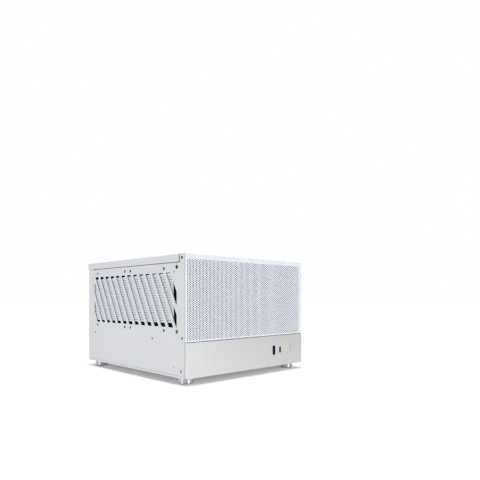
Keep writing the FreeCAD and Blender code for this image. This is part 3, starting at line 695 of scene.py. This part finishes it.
def show_either(tree, lighting, seen, output):
    """Output with one shader for rays that carry light and another for rays that see the stage."""
    either = add_node(tree, "ShaderNodeMixShader")
    tree.links.new(seen_directly(tree), either.inputs["Fac"])
    tree.links.new(lighting, either.inputs[1])
    tree.links.new(seen, either.inputs[2])
    tree.links.new(either.outputs["Shader"], output.inputs["Surface"])


def floor_material():
    """Pale floor that looks a little lighter than it lights."""
    made = bpy.data.materials.new("studio_floor")
    made.use_nodes = True
    tree = made.node_tree
    tree.nodes.clear()
    output = add_node(tree, "ShaderNodeOutputMaterial")
    paint = add_node(tree, "ShaderNodeBsdfDiffuse", {"Color": (*FLOOR_COLOUR, 1)})
    glow = add_node(tree, "ShaderNodeEmission", {"Color": (*GLOW_COLOUR, 1), "Strength": FLOOR_GLOW})
    lit = add_node(tree, "ShaderNodeAddShader")
    tree.links.new(paint.outputs["BSDF"], lit.inputs[0])
    tree.links.new(glow.outputs["Emission"], lit.inputs[1])
    show_either(tree, paint.outputs["BSDF"], lit.outputs["Shader"], output)
    return made


def make_floor():
    def make(work):
        corners = [(-1, -1), (1, -1), (1, 1), (-1, 1)]
        work.faces.new([work.verts.new((x * FLOOR_REACH, y * FLOOR_REACH, 0)) for x, y in corners])

    mesh = mesh_from("floor", make)
    mesh.materials.append(floor_material())
    link(bpy.data.objects.new("floor", mesh))


def make_world():
    """Weak light from all round, with a white backdrop for rays that see it."""
    world = bpy.data.worlds.new("studio")
    bpy.context.scene.world = world
    world.use_nodes = True
    tree = world.node_tree
    tree.nodes.clear()
    output = add_node(tree, "ShaderNodeOutputWorld")
    ambient, backdrop = [
        add_node(tree, "ShaderNodeBackground", {"Color": (*WHITE, 1), "Strength": strength})
        for strength in (WORLD_LIGHT, BACKDROP_LIGHT)]
    show_either(tree, ambient.outputs["Background"], backdrop.outputs["Background"], output)


def make_camera():
    data = bpy.data.cameras.new("camera")
    data.lens = CAMERA_LENS
    data.shift_x, data.shift_y = CAMERA_SHIFT
    camera = link(bpy.data.objects.new("camera", data))
    camera.location = CAMERA_PLACE
    camera.rotation_euler = (QUARTER_TURN, 0, -CAMERA_YAW)
    bpy.context.scene.camera = camera


def aim(lamp, direction):
    lamp.rotation_euler = direction.to_track_quat("-Z", "Y").to_euler()


def make_sky_light():
    """Soft light from almost straight above, for the shadow under the case."""
    data = bpy.data.lights.new("sky_light", "SUN")
    data.energy = SKY_STRENGTH
    data.angle = SKY_SPREAD
    aim(link(bpy.data.objects.new("sky_light", data)), SKY_FALL)


def make_curtain():
    """Dark cloth that shows only in reflections, so that bright metal has something dark to mirror."""
    def make(work):
        first = CURTAIN_MIDDLE - CURTAIN_SWEEP / 2
        angles = [first + CURTAIN_SWEEP * step / CURTAIN_STEPS for step in range(CURTAIN_STEPS + 1)]
        places = [CURTAIN_REACH * Vector((math.cos(a), math.sin(a))) for a in angles]
        rows = [[work.verts.new((p.x, p.y, z)) for p in places] for z in (0.0, CURTAIN_HEIGHT)]
        for i in range(CURTAIN_STEPS):
            work.faces.new((rows[0][i], rows[0][i + 1], rows[1][i + 1], rows[1][i]))

    mesh = mesh_from("curtain", make)
    mesh.materials.append(moulded_plastic("curtain_cloth", CURTAIN_COLOUR))
    curtain = link(bpy.data.objects.new("curtain", mesh))
    curtain.visible_camera = False
    curtain.visible_diffuse = False
    curtain.visible_shadow = False


def soft_box(name, place, power):
    """Large flat lamp that faces the case."""
    data = bpy.data.lights.new(name, "AREA")
    data.shape = "RECTANGLE"
    data.size, data.size_y = BOX_SIZE
    data.energy = power
    lamp = link(bpy.data.objects.new(name, data))
    lamp.location = place
    aim(lamp, BOX_TARGET - place)


dress_nodes()
make_pieces()
make_floor()
make_world()
make_camera()
make_sky_light()
make_curtain()
soft_box("front_light", FRONT_BOX_PLACE, FRONT_BOX_POWER)
soft_box("left_light", LEFT_BOX_PLACE, LEFT_BOX_POWER)
bpy.context.scene.view_settings.view_transform = "Standard"
bpy.context.scene.cycles.filter_width = PIXEL_FILTER
